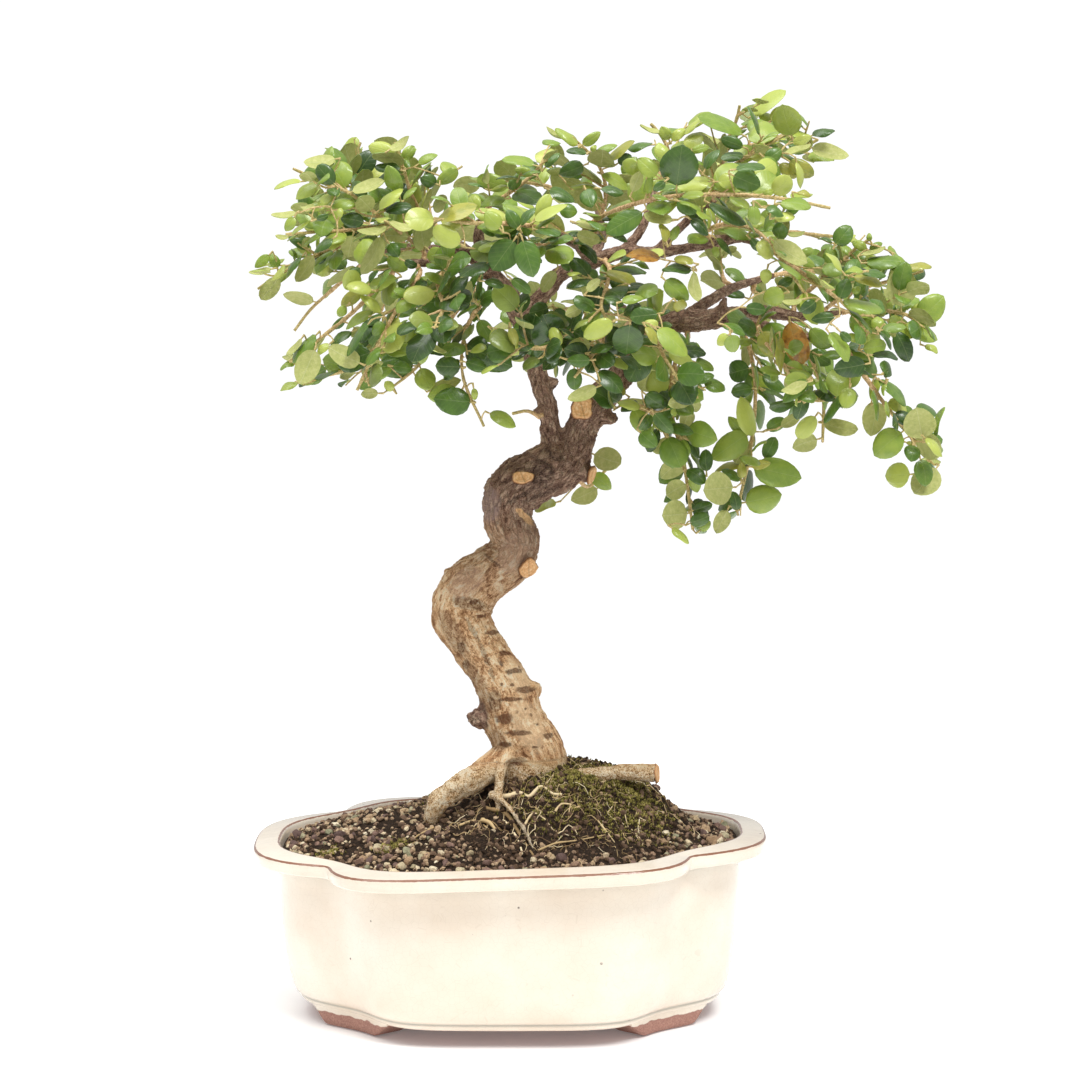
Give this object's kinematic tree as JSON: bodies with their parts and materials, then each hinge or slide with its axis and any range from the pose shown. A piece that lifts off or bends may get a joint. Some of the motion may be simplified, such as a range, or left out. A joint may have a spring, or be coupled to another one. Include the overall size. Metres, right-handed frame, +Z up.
{
  "type": "wall cotoneaster bonsai",
  "caption": "Bonsai tree with a curved trunk, surface roots and leafy sprays, growing in a four-lobed glazed pot with cloud feet.",
  "frame": {"origin": "middle of the whole outline seen from above, at the bottom of the pot's feet", "axes": "+Z up, the pot's front and the pictured side face -Y, +X to the right seen from the front"},
  "size_m": [0.2788, 0.182, 0.3654],
  "materials": {
    "glazed_pot": "glossy cream glaze with iron specks, brown rim lines and bare clay feet",
    "soil": "rough dark granules",
    "bark": "matt, fissured above and smooth with short cross marks below",
    "foliage": "semi-gloss leaves, paler below",
    "drain_mesh": "matt"
  },
  "bodies": {
    "root": {"pot": "glazed_pot", "drain_mesh_left": "drain_mesh", "drain_mesh_right": "drain_mesh", "soil": "soil", "trunk": "bark", "spray_left_tip": "foliage", "spray_left_mid": "foliage", "spray_left_upper": "foliage", "spray_left_top": "foliage", "spray_left_cut": "foliage", "spray_left_front_up": "foliage", "spray_left_front_down": "foliage", "spray_left_low_front": "foliage", "spray_left_low": "foliage", "spray_left_hang_short": "foliage", "spray_left_hang_long": "foliage", "spray_left_pad": "foliage", "spray_low_shoot": "foliage", "spray_top_left": "foliage", "spray_top_mid": "foliage", "spray_top_right": "foliage", "spray_crest_front": "foliage", "spray_crest_stub": "foliage", "spray_crest_right": "foliage", "spray_front_long": "foliage", "spray_front_right": "foliage", "spray_front_centre": "foliage", "spray_front_left": "foliage", "spray_centre_dark": "foliage", "spray_centre_low": "foliage", "spray_centre_mid": "foliage", "spray_stem_right": "foliage", "spray_stem_low": "foliage", "spray_hang_inner": "foliage", "spray_hang_outer": "foliage", "spray_behind_stem": "foliage", "spray_right_front": "foliage", "spray_right_fall": "foliage", "spray_right_end": "foliage", "spray_right_crown": "foliage", "spray_right_upper": "foliage", "spray_right_hang": "foliage", "spray_right_low_front": "foliage", "spray_right_mid": "foliage", "spray_back_top_left": "foliage", "spray_back_top_right": "foliage", "spray_back_left": "foliage", "spray_back_left_low": "foliage", "spray_back_left_up": "foliage", "spray_back_hang_left": "foliage", "spray_back_low": "foliage", "spray_back_hang": "foliage", "spray_back_right": "foliage", "spray_back_hang_right": "foliage", "spray_back_crest": "foliage", "spray_back_inner": "foliage", "spray_back_mid": "foliage"}
  },
  "joints": []
}
